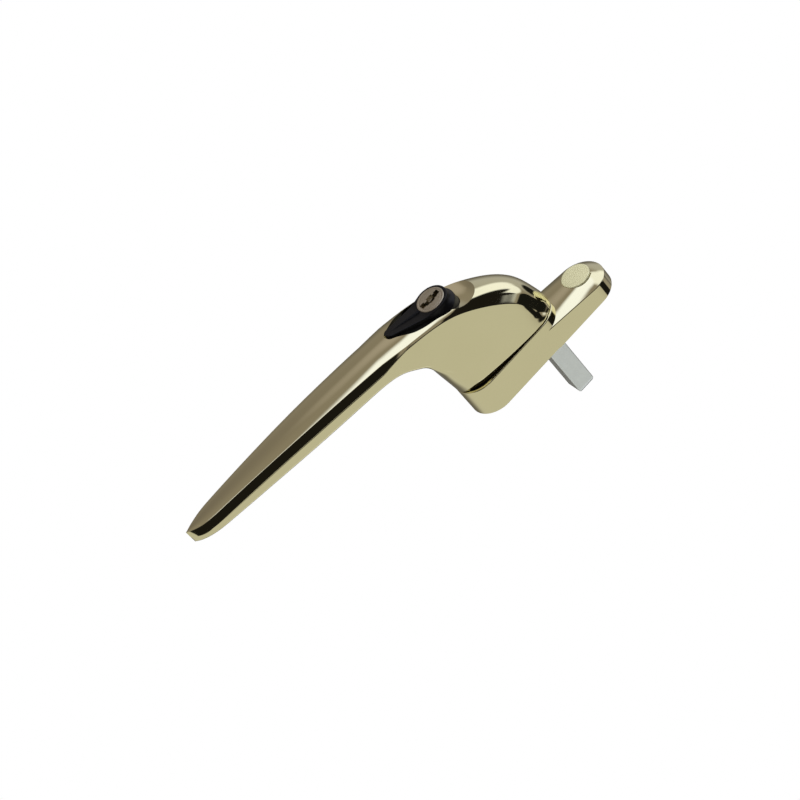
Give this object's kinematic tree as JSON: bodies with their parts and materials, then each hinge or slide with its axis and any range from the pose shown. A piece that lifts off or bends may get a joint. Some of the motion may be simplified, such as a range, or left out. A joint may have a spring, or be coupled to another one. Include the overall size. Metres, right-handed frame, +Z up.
{
  "type": "inline window handle",
  "caption": "Locking inline window handle: polished lever on a narrow base, square spindle behind, key lock in a black thumb button",
  "frame": {"origin": "On the spindle's axis, in the plane of the base's back face, which rests against the window sash", "axes": "+Y out of the back of the base along the spindle, -Y towards the room, +Z up the sash, lever hanging along -Z when shut, X across the base"},
  "size_m": [0.0182, 0.0833, 0.1621],
  "materials": {
    "polished_gold": "mirror-polished, pale champagne gold plating on a zinc casting",
    "cap_gold": "gold-metallised plastic cap",
    "nylon": "natural nylon",
    "zinc_plate": "bright zinc-plated steel",
    "spring_steel": "plain spring steel",
    "black_plastic": "black satin plastic",
    "cast_zinc": "as-cast zinc alloy",
    "nickel_brass": "pale nickel-washed brass, finely turned",
    "plain_brass": "plain brass"
  },
  "bodies": {
    "base": {"base_plate": "polished_gold", "screw_cap": "cap_gold", "bearing_bush": "nylon", "rear_disc": "zinc_plate", "wave_washer": "spring_steel"},
    "lever": {"lever": "polished_gold", "spindle": "zinc_plate", "spindle_pin": "spring_steel", "circlip": "spring_steel", "thrust_washer": "zinc_plate"},
    "button": {"lock_button": "black_plastic", "lock_body": "cast_zinc", "locking_bolt": "zinc_plate", "locking_slug": "plain_brass", "button_spring": "spring_steel"},
    "plug": {"key_plug": "nickel_brass", "wafers": "plain_brass", "wafer_springs": "spring_steel", "plug_cam": "cast_zinc", "plug_clip": "spring_steel"}
  },
  "joints": [
    {"name": "lever_turn", "type": "hinge", "parent": "base", "child": "lever", "pos_m": [0, 0, 0], "axis": [0, -1, 0], "range_deg": [-90, 90]},
    {"name": "button_press", "type": "slide", "parent": "lever", "child": "button", "axis": [0, 1, 0], "range_m": [0, 0.0036], "stiffness_N_per_m": 900, "springref_m": -0.002, "deforming": ["button_spring"]},
    {"name": "key_turn", "type": "hinge", "parent": "button", "child": "plug", "pos_m": [0, -0.0486, -0.0215], "axis": [0, -1, 0], "range_deg": [0, 90]}
  ]
}
